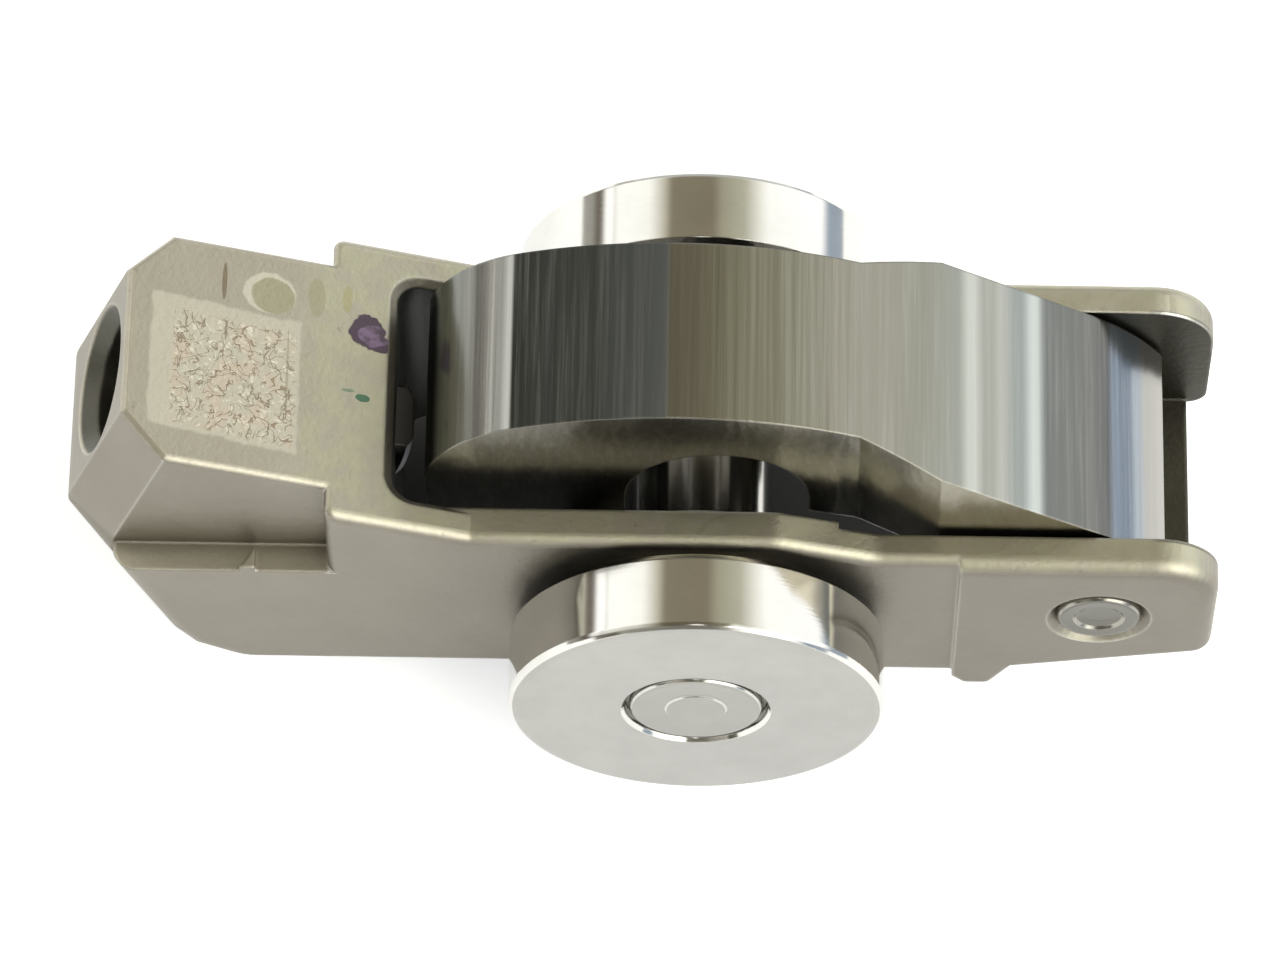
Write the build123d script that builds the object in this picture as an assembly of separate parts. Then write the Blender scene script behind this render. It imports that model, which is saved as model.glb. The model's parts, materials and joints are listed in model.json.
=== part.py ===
from build123d import *
from math import acos, asin, atan2, cos, degrees, hypot, pi, radians, sin, tan
import os

# Two-step roller rocker arm. Two outboard rollers on one spinning axle follow the
# low-lift lobes; a hinged slider between them follows the high-lift lobe when the
# latch pin holds its nose up. All lengths in millimetres.
#
# The pieces are modelled in the arm frame: origin on the roller axle's centre, +X to
# the valve end, +Y across, +Z up. to_rest() then moves each piece to the frame of the
# model: origin at the centre of the ball socket, +Z up with the arm lying at rest on
# both rollers and the rim of the socket boss.

# ---- helper lengths ----------------------------------------------------------------
# through: longer than the arm is in any direction, for cuts that go right through it.
# overlap: how far a cut runs past the face that it opens.
# root: how far an added land or web runs into the wall that carries it.
through = 60.0
overlap = 1.0
root = 0.5

# ---- driving dimensions ------------------------------------------------------------
# rollers and axle
roller_r = 9.5
roller_width = 4.35
roller_edge = 0.45
roller_bore_edge = 0.35
axle_r = 3.6
axle_recess = 0.3
axle_end_edge = 0.25
stake_groove_r = 2.3
stake_groove_w = 0.5
stake_groove_depth = 0.3

# needle bearings
needle_r = 0.75
needle_count = 17
needle_gap = 0.02
needle_end_gap = 0.05
cup_wall = 0.5
cup_lip = 0.3
cup_lip_gap = 0.3
cup_seat_depth = 0.1
bearing_boss_wall = 1.3
thrust_land = 0.55
roller_side_gap = 0.15
slider_side_gap = 0.25

# outer arm, seen from above
arm_half = 7.95
window_half = 6.05
ear_gap_half = 6.4
ear_pad = 0.35
housing_half = 6.35
window_left_x = -15.35
window_corner_r = 1.2
ear_gap_start_x = 7.0
wide_block_x = -18.6

# outer arm, seen from the side
heel_top_x = -27.0
heel_top_z = -2.4
heel_mid_x = -26.0
heel_mid_z = -4.1
heel_x = -24.9
heel_z = -4.8
shoulder_x = -29.45
shoulder_z = 4.9
rail_top_z = 8.6
rail_slope_x = 3.9
ear_top_x = 8.9
ear_top_z = 7.0
ear_end_x = 26.2
ear_end_low_z = -2.4
ear_corner_r = 3.2
ear_low_corner_r = 1.1
ear_heel_x = 15.6
ear_heel_z = -4.75
bump_right_x = 14.95
bump_left_x = 13.75
bump_z = -5.95
bump_root_x = 13.0
rail_low_x = 9.6
rail_low_z = -5.1
pad_left_x = 13.1
step_corner_r = 0.3
rail_bend_r = 2.0
bump_corner_r = 0.4
wide_edge_r = 0.6
ear_edge_r = 0.9
window_edge = 0.4
block_corner_r = 1.2
nub_x = -22.25
nub_length = 0.8
nub_width = 1.25
nub_height = 0.4

# ball socket for the lash adjuster
socket_x = -20.8
socket_r = 4.4
socket_lead = 2.0
socket_rim_z = -5.5
socket_boss_r = 5.9
socket_edge = 0.35
oil_hole_r = 0.6

# latch housing and latch
latch_tilt = 19.5
latch_mouth_x = -30.1
latch_mouth_z = 10.3
housing_top = 4.65
housing_low = 8.1
housing_under_r = 3.5
housing_nose_half = 4.0
housing_nose_run = 2.3
housing_edge = 0.4
piston_r = 3.0
piston_len = 2.8
piston_start = 6.4
latch_clearance = 0.04
piston_bore_len = 13.2
mouth_chamfer = 0.8
nose_r = 2.35
nose_flat = 1.7
nose_tip = 16.0
nose_tip_edge = 0.35
standoff_r = 1.2
latch_stroke = 2.4
plug_start = 1.7
plug_len = 2.9
plug_wall = 0.45
plug_base = 0.6
latch_wire_r = 0.19
latch_coils = 3.5
latch_lash = 0.06

# slider arm and its hinge
pin_x = 20.3
pin_z = 1.6
pin_r = 1.9
pin_recess = 0.35
pin_countersink_r = 2.65
pin_dimple_r = 1.3
pin_dimple_depth = 0.45
hinge_clearance = 0.03
slider_half = 4.9
slider_end_half = 6.15
flare_start_x = 7.9
flare_end_x = 12.0
slider_drop = 24.0
crest_r = 24.0
crest_x = -1.2
crest_z = 16.45
pad_front_x = -9.4
slider_nose_x = -13.7
slider_nose_z = 10.0
slider_boss_r = 4.3
slider_end_x = 23.6
end_round_x = 19.7
end_round_r = 12.6
slot_clearance = 1.0
slot_x = 0.9
slot_z = 7.9
web_root_x = 6.1
web_root_z = 6.6
web_low_x = 10.4
web_low_z = 5.2
nose_heel_x = -9.6
stop_gap = 0.06
stop_step = 0.3
nose_bulge_x = 0.62
nose_bulge_z = 0.52

# valve pallet between the ears
bridge_left_x = 16.8
bridge_right_x = 25.2
bridge_plate = 1.75
bridge_corner_r = 1.0
bridge_clearance = 0.25
bridge_lip_z = -2.3
bridge_left_z = -3.0
pallet_r = 11.0
pallet_x = 20.9
pallet_z = -6.3
pallet_half = 3.1
guide_half = 4.3
guide_depth = 1.5
guide_inset = 0.7
guide_slope = 0.8
guide_corner_r = 0.7

# lost-motion torsion spring
spring_wire_r = 0.4
spring_pin_gap = 0.1
spring_pocket_gap = 0.2
spring_pocket_half = 4.6
spring_coils = 6.5
spring_pitch = 1.04
slider_leg_x = 13.4
body_leg_x = 15.6
spring_seat_gap = 0.02
seat_length = 1.4
seat_width = 1.6
seat_offset = 0.2
channel_end_gap = 0.6

# ---- values worked out from the driving dimensions ----------------------------------
boss_inner_y = slider_half + slider_side_gap
thrust_y = arm_half + thrust_land
roller_inner_y = thrust_y + roller_side_gap
roller_outer_y = roller_inner_y + roller_width
cup_bore_r = axle_r + 2 * needle_r + 2 * needle_gap
cup_r = cup_bore_r + cup_wall
bearing_boss_r = cup_r + bearing_boss_wall
needle_pitch_r = axle_r + needle_r + needle_gap
ear_half = arm_half + ear_pad
ball_z = socket_rim_z + socket_lead
piston_bore_r = piston_r + latch_clearance
nose_bore_r = nose_r + latch_clearance
spring_mean_r = pin_r + spring_pin_gap + spring_wire_r
spring_pocket_r = spring_mean_r + spring_wire_r + spring_pocket_gap
trough_r = slider_boss_r + bridge_clearance
slot_r = axle_r + slot_clearance


# ---- frames and small helpers -------------------------------------------------------
def rest_angle():
    """Turn about Y that puts the socket rim and both rollers on one level surface."""
    run = socket_boss_r - socket_x
    drop = -socket_rim_z
    return degrees(asin(roller_r / hypot(run, drop)) - atan2(drop, run))


def to_rest(shape):
    return Rot(0, -rest_angle(), 0) * Pos(-socket_x, 0, -ball_z) * shape


def latch_frame(u=0.0, height=0.0):
    """Frame on the latch bore: local X runs down the bore, local Z is square to it."""
    return Pos(latch_mouth_x, 0, latch_mouth_z) * Rot(0, latch_tilt, 0) * Pos(u, 0, height)


def bore_cylinder(radius, start, end):
    """Cylinder on the latch axis from one distance down the bore to another."""
    disc = Plane.YZ * Circle(radius)
    return latch_frame(start) * extrude(disc, amount=end - start)


def side_face(points, rounds=()):
    """Face in the XZ plane through (x, z) points, with some corners rounded."""
    face = Polygon(*points, align=None)
    for x, z, radius in rounds:
        corner = face.vertices().sort_by_distance((x, z, 0))[0]
        face = fillet(corner, radius)
    return Plane.XZ * face


def slab(face, half):
    """Side face made solid, the same distance each side of the middle plane."""
    return extrude(Pos(0, half, 0) * face, amount=2 * half, dir=(0, -1, 0))


def column(face):
    """Plan face made solid over more than the whole height of the arm."""
    return extrude(Pos(0, 0, -through / 2) * face, amount=through, dir=(0, 0, 1))


def cross_cylinder(x, z, radius, y0, y1):
    """Cylinder along Y from y0 to y1."""
    disc = Plane.XZ * Pos(x, z) * Circle(radius)
    return Pos(0, y0, 0) * extrude(disc, amount=-(y1 - y0))


def turned(points):
    """Solid turned about the Y axis from (radius, y) points."""
    return revolve(Polygon(*points, align=None), Axis.Y)


def mirrored(shape):
    return mirror(shape, about=Plane.XZ)


def top_plane_z(x):
    """Height of the sloping top of the latch housing."""
    middle = latch_mouth_z + housing_top / cos(radians(latch_tilt))
    return middle - (x - latch_mouth_x) * tan(radians(latch_tilt))


def catch_plane_z(x):
    """Height of the slider's catch face, parallel to the latch pin's flat."""
    middle = latch_mouth_z - (x - latch_mouth_x) * tan(radians(latch_tilt))
    return middle + (nose_flat + latch_lash) / cos(radians(latch_tilt))


# ---- outer arm ------------------------------------------------------------------------
def arm_side_points():
    rail_start_x = latch_mouth_x + (
        latch_mouth_z + housing_top / cos(radians(latch_tilt)) - rail_top_z
    ) / tan(radians(latch_tilt))
    return [
        (heel_x, heel_z),
        (heel_mid_x, heel_mid_z),
        (heel_top_x, heel_top_z),
        (shoulder_x, shoulder_z),
        (wide_block_x, shoulder_z),
        (wide_block_x, top_plane_z(wide_block_x)),
        (rail_start_x, rail_top_z),
        (rail_slope_x, rail_top_z),
        (ear_top_x, ear_top_z),
        (ear_end_x, ear_top_z),
        (ear_end_x, ear_end_low_z),
        (ear_heel_x, ear_heel_z),
        (bump_right_x, bump_z),
        (bump_left_x, bump_z),
        (bump_root_x, rail_low_z),
        (rail_low_x, rail_low_z),
        (-rail_low_x, heel_z),
    ]


def arm_side_face():
    """Side view of the walls: socket block, rails and ears."""
    rounds = [
        (wide_block_x, top_plane_z(wide_block_x), step_corner_r),
        (rail_slope_x, rail_top_z, rail_bend_r),
        (ear_top_x, ear_top_z, rail_bend_r),
        (ear_end_x, ear_top_z, ear_corner_r),
        (ear_end_x, ear_end_low_z, ear_low_corner_r),
        (bump_right_x, bump_z, bump_corner_r),
        (bump_left_x, bump_z, bump_corner_r),
    ]
    return side_face(arm_side_points(), rounds)


def latch_housing():
    """Sloping housing round the latch bore, with cut corners at its open end."""
    length = (wide_block_x - latch_mouth_x) / cos(radians(latch_tilt)) + 2 * housing_nose_run
    plan = Polygon(
        (0, -housing_nose_half),
        (housing_nose_run, -housing_half),
        (length, -housing_half),
        (length, housing_half),
        (housing_nose_run, housing_half),
        (0, housing_nose_half),
        align=None,
    )
    block = Pos(0, 0, -housing_low) * extrude(plan, amount=housing_low + housing_top)
    top_edges = block.faces().sort_by(Axis.Z)[-1].edges().sort_by(Axis.X)[:-1]
    block = fillet(top_edges, housing_edge)
    under = block.faces().sort_by(Axis.Z)[0].edges().sort_by(Axis.X)[:3]
    block = fillet(under, housing_under_r)
    return latch_frame() * block


def ear_pads():
    """Raised outer faces of the two ears."""
    plate = slab(arm_side_face(), ear_half)
    tops = [
        edge
        for edge in plate.edges()
        if abs(edge.center().Y) > ear_half - 0.01
        and edge.center().X > ear_top_x
        and edge.center().Z > ear_end_low_z + ear_low_corner_r
    ]
    plate = fillet(tops, ear_edge_r)
    keep_length = ear_end_x - pad_left_x + overlap
    keep = Pos(pad_left_x + keep_length / 2, 0, 0) * Box(keep_length, through, through)
    return plate & keep


def window_cut():
    """Window between the rails, widening to the gap between the ears."""
    length = ear_gap_start_x - window_left_x + overlap
    plan = Pos(window_left_x + length / 2, 0) * Rectangle(length, 2 * window_half)
    left_corners = plan.vertices().sort_by(Axis.X)[:2]
    plan = fillet(left_corners, window_corner_r)
    gap_length = ear_end_x - ear_gap_start_x + overlap
    gap = Pos(ear_gap_start_x + gap_length / 2, 0) * Rectangle(gap_length, 2 * ear_gap_half)
    return column(plan + gap)


def bearing_bosses():
    ring = cross_cylinder(0, 0, bearing_boss_r, boss_inner_y, thrust_y)
    return ring + mirrored(ring)


def bearing_bores():
    return cross_cylinder(0, 0, cup_r, -through / 2, through / 2)


def socket_boss():
    disc = Pos(socket_x, 0, socket_rim_z) * Cylinder(
        socket_boss_r, -socket_rim_z, align=(Align.CENTER, Align.CENTER, Align.MIN)
    )
    return chamfer(disc.edges().sort_by(Axis.Z)[0], socket_edge)


def socket_cut():
    """Ball seat, its straight lead-in and the chamfer at the rim."""
    ball = Pos(socket_x, 0, ball_z) * Sphere(socket_r)
    lead = Pos(socket_x, 0, socket_rim_z) * Cylinder(
        socket_r, socket_lead, align=(Align.CENTER, Align.CENTER, Align.MIN)
    )
    rim = Pos(socket_x, 0, socket_rim_z + socket_edge / 2) * Cone(
        socket_r + socket_edge, socket_r, socket_edge
    )
    return ball + lead + rim


def oil_hole():
    """Drilling from the ball seat to the chamber behind the latch piston."""
    chamber_u = (plug_start + plug_len + piston_start) / 2
    target = latch_frame(chamber_u).position
    start = Vector(socket_x, 0, ball_z)
    path = target - start
    return extrude(Plane(origin=start, z_dir=path) * Circle(oil_hole_r), amount=path.length)


def latch_bore():
    """Piston bore, flat-topped guide bore for the nose and the mouth's chamfer."""
    piston = bore_cylinder(piston_bore_r, -overlap, piston_bore_len)
    reach = (window_left_x - latch_mouth_x) / cos(radians(latch_tilt)) + 2 * overlap
    guide = bore_cylinder(nose_bore_r, piston_bore_len - overlap, reach)
    flat_height = nose_flat + latch_clearance
    cap = latch_frame(reach / 2, flat_height + nose_bore_r) * Box(
        2 * reach, 4 * nose_bore_r, 2 * nose_bore_r
    )
    mouth = latch_frame(mouth_chamfer / 2) * Rot(0, 90, 0) * Cone(
        piston_bore_r + mouth_chamfer, piston_bore_r, mouth_chamfer
    )
    return piston + (guide - cap) + mouth


def pin_holes():
    """Hinge pin bore through both ears, countersunk for staking."""
    depth = pin_countersink_r - pin_r
    profile = [
        (0, 0),
        (pin_r, 0),
        (pin_r, ear_half - depth),
        (pin_countersink_r, ear_half),
        (pin_countersink_r, ear_half + overlap),
        (0, ear_half + overlap),
    ]
    hole = Pos(pin_x, 0, pin_z) * turned(profile)
    return hole + mirrored(hole)


def bridge():
    """Web between the ears: trough for the slider's boss above, valve pallet below."""
    plate_low_z = pin_z - trough_r - bridge_plate
    guide_low_z = pallet_z - guide_depth
    guide_left_x = bridge_left_x + guide_inset
    guide_right_x = bridge_right_x - guide_inset
    web = side_face(
        [
            (bridge_left_x, plate_low_z),
            (bridge_left_x, bridge_left_z),
            (pin_x, bridge_left_z),
            (pin_x, bridge_lip_z),
            (bridge_right_x, bridge_lip_z),
            (bridge_right_x, plate_low_z),
        ],
        [
            (bridge_right_x, plate_low_z, bridge_corner_r),
            (bridge_left_x, plate_low_z, bridge_corner_r),
        ],
    )
    plate = slab(web, ear_gap_half + root)
    trough = cross_cylinder(pin_x, pin_z, trough_r, -ear_gap_half, ear_gap_half)
    pad_arc = cross_cylinder(pallet_x, pallet_z + pallet_r, pallet_r, -pallet_half, pallet_half)
    pad_box = Pos(
        (bridge_left_x + bridge_right_x) / 2, 0, (plate_low_z + pallet_z) / 2
    ) * Box(bridge_right_x - bridge_left_x, 2 * pallet_half, plate_low_z - pallet_z + root)
    guide_face = side_face(
        [
            (guide_left_x, plate_low_z + root),
            (guide_left_x + guide_slope, guide_low_z),
            (guide_right_x - guide_slope, guide_low_z),
            (guide_right_x, plate_low_z + root),
        ],
        [
            (guide_left_x + guide_slope, guide_low_z, guide_corner_r),
            (guide_right_x - guide_slope, guide_low_z, guide_corner_r),
        ],
    )
    guides = slab(guide_face, guide_half) - Box(through, 2 * pallet_half, through)
    return (plate - trough) + (pad_box & pad_arc) + guides


def spring_seat():
    """Land on the bridge that the lost-motion spring's fixed leg bears on."""
    seat_z = pin_z - spring_mean_r - spring_wire_r - spring_seat_gap
    seat_y = spring_coils * spring_pitch / 2 + seat_offset
    height = seat_z - bridge_left_z + root
    middle = Pos(bridge_left_x + seat_length / 2, seat_y, seat_z - height / 2)
    return middle * Box(seat_length, seat_width, height)


def nubs():
    """Small three-cornered lands on the shoulder, one each side of the housing."""
    top = Polygon(
        (nub_x, -arm_half + nub_width),
        (nub_x - nub_length, -arm_half),
        (nub_x, -arm_half),
        align=None,
    )
    nub = Pos(0, 0, shoulder_z - root) * extrude(top, amount=nub_height + root)
    return nub + mirrored(nub)


def on_outer_face(edge):
    return abs(edge.center().Y) > arm_half - 0.01


def walls():
    """Socket block, rails and ears, with the end's corners and the top edges rounded."""
    body = slab(arm_side_face(), arm_half)
    corners = [
        edge
        for edge in body.edges().filter_by(on_outer_face)
        if edge.center().X < heel_x and edge.center().Z < shoulder_z - 0.1
    ]
    body = fillet(corners, block_corner_r)
    tops = [
        edge
        for edge in body.edges().filter_by(on_outer_face)
        if wide_block_x < edge.center().X - 0.5
        and edge.center().X < ear_top_x + 1
        and edge.center().Z > ear_top_z - 0.5
    ]
    return fillet(tops, wide_edge_r)


def on_window_rim(edge):
    """Whether an edge is on the housing's side of the window, in the housing's top."""
    middle = edge.center()
    beside = abs(middle.Y) < window_half + 0.01 and window_left_x - 0.01 < middle.X
    return beside and abs(middle.Z - top_plane_z(middle.X)) < 0.01


def outer_arm():
    body = walls()
    body = body + ear_pads()
    body = body + latch_housing()
    body = body + nubs()
    body = body + socket_boss()
    body = body - window_cut()
    body = chamfer(body.edges().filter_by(on_window_rim), window_edge)
    body = body + bearing_bosses() + bridge() + spring_seat()
    for cut in (bearing_bores(), socket_cut(), latch_bore(), oil_hole(), pin_holes()):
        body = body - cut
    return body


# ---- slider arm -----------------------------------------------------------------------
def crest_point(x):
    return (x, crest_z - crest_r + (crest_r**2 - (x - crest_x) ** 2) ** 0.5)


def on_circle(x, z, radius, angle):
    return (x + radius * cos(angle), z + radius * sin(angle))


def slope_normal():
    """Angle of the normal of the slope that is tangent to the crest and to the boss."""
    rise = pin_z - (crest_z - crest_r)
    run = pin_x - crest_x
    return atan2(rise, run) + acos((crest_r - slider_boss_r) / hypot(run, rise))


def end_rounding():
    """Start, middle and end of the arc that rounds the slope off over the hinge."""
    normal = slope_normal()
    tangent_x, tangent_z = on_circle(pin_x, pin_z, slider_boss_r, normal)
    start_z = tangent_z + (tangent_x - end_round_x) / tan(normal)
    middle_x = end_round_x - end_round_r * cos(normal)
    middle_z = start_z - end_round_r * sin(normal)
    end_angle = acos((slider_end_x - middle_x) / end_round_r)
    angles = (normal, (normal + end_angle) / 2, end_angle)
    return [on_circle(middle_x, middle_z, end_round_r, angle) for angle in angles]


def web_normal():
    """Angle of the point where the underside of the web runs into the boss."""
    rise = web_low_z - pin_z
    run = web_low_x - pin_x
    return atan2(rise, run) + acos(slider_boss_r / hypot(run, rise))


def slider_top():
    """Nose, crest, slope and the rounding over the hinge, up to the flat end."""
    normal = slope_normal()
    front = crest_point(pad_front_x)
    nose = (slider_nose_x, slider_nose_z)
    nose_mid = ((front[0] + nose[0]) / 2 - nose_bulge_x, (front[1] + nose[1]) / 2 + nose_bulge_z)
    slope_top = on_circle(crest_x, crest_z - crest_r, crest_r, normal)
    round_start, round_mid, round_end = end_rounding()
    return [
        ThreePointArc(nose, nose_mid, front),
        ThreePointArc(front, crest_point(crest_x), slope_top),
        Line(slope_top, round_start),
        ThreePointArc(round_start, round_mid, round_end),
    ]


def slider_underside():
    """Flat end, stop foot, boss, web, axle slot and catch face, from right to left."""
    end_top = end_rounding()[-1]
    foot_z = bridge_lip_z + stop_gap
    foot_x = pin_x + (trough_r**2 - (pin_z - bridge_lip_z) ** 2) ** 0.5 + stop_step
    foot_angle = 2 * pi - acos((foot_x - pin_x) / slider_boss_r)
    foot_top = on_circle(pin_x, pin_z, slider_boss_r, foot_angle)
    web_angle = web_normal()
    boss_low = on_circle(pin_x, pin_z, slider_boss_r, (web_angle + foot_angle) / 2)
    web_end = on_circle(pin_x, pin_z, slider_boss_r, web_angle)
    slot_right = (slot_x + slot_r, slot_z)
    slot_left = (slot_x - slot_r, slot_z)
    catch_back = (nose_heel_x, catch_plane_z(nose_heel_x))
    return [
        Polyline(end_top, (slider_end_x, foot_z), (foot_x, foot_z), foot_top),
        ThreePointArc(foot_top, boss_low, web_end),
        Polyline(web_end, (web_low_x, web_low_z), (slot_right[0], web_root_z), slot_right),
        ThreePointArc(slot_right, (slot_x, slot_z + slot_r), slot_left),
        Polyline(
            slot_left,
            (slot_left[0], catch_back[1]),
            catch_back,
            (slider_nose_x, catch_plane_z(slider_nose_x)),
            (slider_nose_x, slider_nose_z),
        ),
    ]


def slider_side_face():
    """Side view of the slider arm, as one closed outline."""
    return Plane.XZ * make_face(slider_top() + slider_underside())


def slider_plan():
    """View from above: narrow pad, flared to the full width of the hinge end."""
    end_x = ear_end_x + overlap
    start_x = slider_nose_x - overlap
    return Polygon(
        (start_x, slider_half),
        (flare_start_x, slider_half),
        (flare_end_x, slider_end_half),
        (end_x, slider_end_half),
        (end_x, -slider_end_half),
        (flare_end_x, -slider_end_half),
        (flare_start_x, -slider_half),
        (start_x, -slider_half),
        align=None,
    )


def spring_pocket():
    """Hollow under the hinge end: round the coils, and forward over the slider's leg."""
    drum = cross_cylinder(
        pin_x, pin_z, spring_pocket_r, -spring_pocket_half, spring_pocket_half
    )
    roof_z = pin_z + spring_mean_r + spring_wire_r + spring_seat_gap
    left_x = slider_leg_x - channel_end_gap
    depth = through / 2
    channel = Pos((left_x + pin_x) / 2, 0, roof_z - depth / 2) * Box(
        pin_x - left_x, 2 * spring_pocket_half, depth
    )
    return drum + channel


def slider_arm():
    body = slab(slider_side_face(), slider_end_half + overlap)
    body = body & column(slider_plan())
    hinge_hole = cross_cylinder(
        pin_x, pin_z, pin_r + hinge_clearance, -through / 2, through / 2
    )
    return body - spring_pocket() - hinge_hole


# ---- hinge pin and lost-motion spring -----------------------------------------------------
def pivot_pin():
    """Hinge pin with a flared, dimpled end at each side."""
    end_y = ear_half - pin_recess
    flare = pin_countersink_r - pin_r - pin_recess
    profile = [
        (0, 0),
        (pin_r, 0),
        (pin_r, end_y - flare),
        (pin_r + flare, end_y),
        (pin_dimple_r, end_y),
        (0, end_y - pin_dimple_depth),
    ]
    half = turned(profile)
    return Pos(pin_x, 0, pin_z) * (half + mirrored(half))


def coil_path(mean_r, pitch, turns):
    """Helix along +Z, starting on the +X side."""
    return Helix(pitch=pitch, height=pitch * turns, radius=mean_r)


def wire_along(path, wire_r):
    section = Plane(origin=path @ 0, z_dir=path % 0) * Circle(wire_r)
    return sweep(section, path=path, is_frenet=True)


def lost_motion_spring():
    """Torsion spring round the hinge pin: one leg under the slider, one on the bridge."""
    turns = coil_path(spring_mean_r, spring_pitch, spring_coils)
    body_leg = (pin_x - body_leg_x) * (turns % 0)
    slider_leg = (pin_x - slider_leg_x) * (turns % 1)
    path = Wire(
        [
            Line(turns @ 0 - body_leg, turns @ 0).edge(),
            turns.edge(),
            Line(turns @ 1, turns @ 1 + slider_leg).edge(),
        ]
    )
    spring = wire_along(path, spring_wire_r)
    start_y = spring_coils * spring_pitch / 2
    start = Plane(origin=(pin_x, start_y, pin_z), x_dir=(0, 0, -1), z_dir=(0, -1, 0))
    return start.location * spring


# ---- roller spool ----------------------------------------------------------------------
def roller_axle():
    """Axle with a chamfered, ring-staked end at each side."""
    end_y = roller_outer_y - axle_recess
    groove_in = stake_groove_r - stake_groove_w / 2
    groove_out = stake_groove_r + stake_groove_w / 2
    profile = [
        (0, 0),
        (axle_r, 0),
        (axle_r, end_y - axle_end_edge),
        (axle_r - axle_end_edge, end_y),
        (groove_out, end_y),
        (stake_groove_r, end_y - stake_groove_depth),
        (groove_in, end_y),
        (0, end_y),
    ]
    half = turned(profile)
    return half + mirrored(half)


def roller():
    """Right-hand roller, on the -Y side."""
    profile = [
        (axle_r, -roller_inner_y),
        (roller_r - roller_edge, -roller_inner_y),
        (roller_r, -roller_inner_y - roller_edge),
        (roller_r, -roller_outer_y + roller_edge),
        (roller_r - roller_edge, -roller_outer_y),
        (axle_r + roller_bore_edge, -roller_outer_y),
        (axle_r, -roller_outer_y + roller_bore_edge),
    ]
    return turned(profile)


# ---- needle bearings -------------------------------------------------------------------
def bearing_cup():
    """Right-hand drawn cup with a lip at each end."""
    inner_y = -boss_inner_y
    outer_y = -thrust_y + cup_seat_depth
    lip_r = axle_r + cup_lip_gap
    profile = [
        (cup_r, inner_y),
        (cup_r, outer_y),
        (lip_r, outer_y),
        (lip_r, outer_y + cup_lip),
        (cup_bore_r, outer_y + cup_lip),
        (cup_bore_r, inner_y - cup_lip),
        (lip_r, inner_y - cup_lip),
        (lip_r, inner_y),
    ]
    return turned(profile)


def needle(index):
    """One needle of the right-hand bearing."""
    inner_y = -boss_inner_y - cup_lip - needle_end_gap
    outer_y = -thrust_y + cup_seat_depth + cup_lip + needle_end_gap
    angle = 2 * pi * index / needle_count
    x = needle_pitch_r * cos(angle)
    z = needle_pitch_r * sin(angle)
    return cross_cylinder(x, z, needle_r, outer_y, inner_y)


# ---- latch ----------------------------------------------------------------------------
def latch_pin():
    """Piston head, flat-topped nose and the stand-off that keeps the oil space open."""
    head_end = piston_start + piston_len
    head = bore_cylinder(piston_r, piston_start, head_end)
    nose = bore_cylinder(nose_r, head_end, nose_tip)
    nose = chamfer(nose.edges().sort_by(Axis.X)[-1], nose_tip_edge)
    above = latch_frame(nose_tip / 2, nose_flat + nose_r) * Box(
        2 * nose_tip, 4 * nose_r, 2 * nose_r
    )
    standoff = bore_cylinder(standoff_r, plug_start + plug_len, piston_start)
    return head + (nose - above) + standoff


def latch_plug():
    """Cup plug, open towards the mouth of the bore."""
    shell = bore_cylinder(piston_bore_r, plug_start, plug_start + plug_len)
    hollow = bore_cylinder(
        piston_bore_r - plug_wall, plug_start - overlap, plug_start + plug_len - plug_base
    )
    return shell - hollow


def latch_spring():
    """Return spring round the latch pin's nose."""
    start = piston_start + piston_len + latch_wire_r + spring_seat_gap
    end = piston_bore_len - latch_wire_r - spring_seat_gap
    mean_r = (nose_r + piston_bore_r) / 2
    path = coil_path(mean_r, (end - start) / latch_coils, latch_coils)
    return latch_frame(start) * Rot(0, 90, 0) * wire_along(path, latch_wire_r)


# ---- all pieces -------------------------------------------------------------------------
def pieces():
    parts = {
        "outer_arm": outer_arm(),
        "slider_arm": slider_arm(),
        "pivot_pin": pivot_pin(),
        "lost_motion_spring": lost_motion_spring(),
        "roller_axle": roller_axle(),
        "right_roller": roller(),
        "left_roller": mirrored(roller()),
        "right_bearing_cup": bearing_cup(),
        "left_bearing_cup": mirrored(bearing_cup()),
        "latch_pin": latch_pin(),
        "latch_plug": latch_plug(),
        "latch_spring": latch_spring(),
    }
    for index in range(needle_count):
        one = needle(index)
        parts[f"right_needle_{index + 1:02d}"] = one
        parts[f"left_needle_{index + 1:02d}"] = mirrored(one)
    return parts


os.makedirs("parts", exist_ok=True)
for name, shape in pieces().items():
    export_step(to_rest(shape), f"parts/{name}.step")
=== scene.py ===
import json
from math import asin, cos, pi, radians, sin

import bpy
from mathutils import Matrix, Vector

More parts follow.
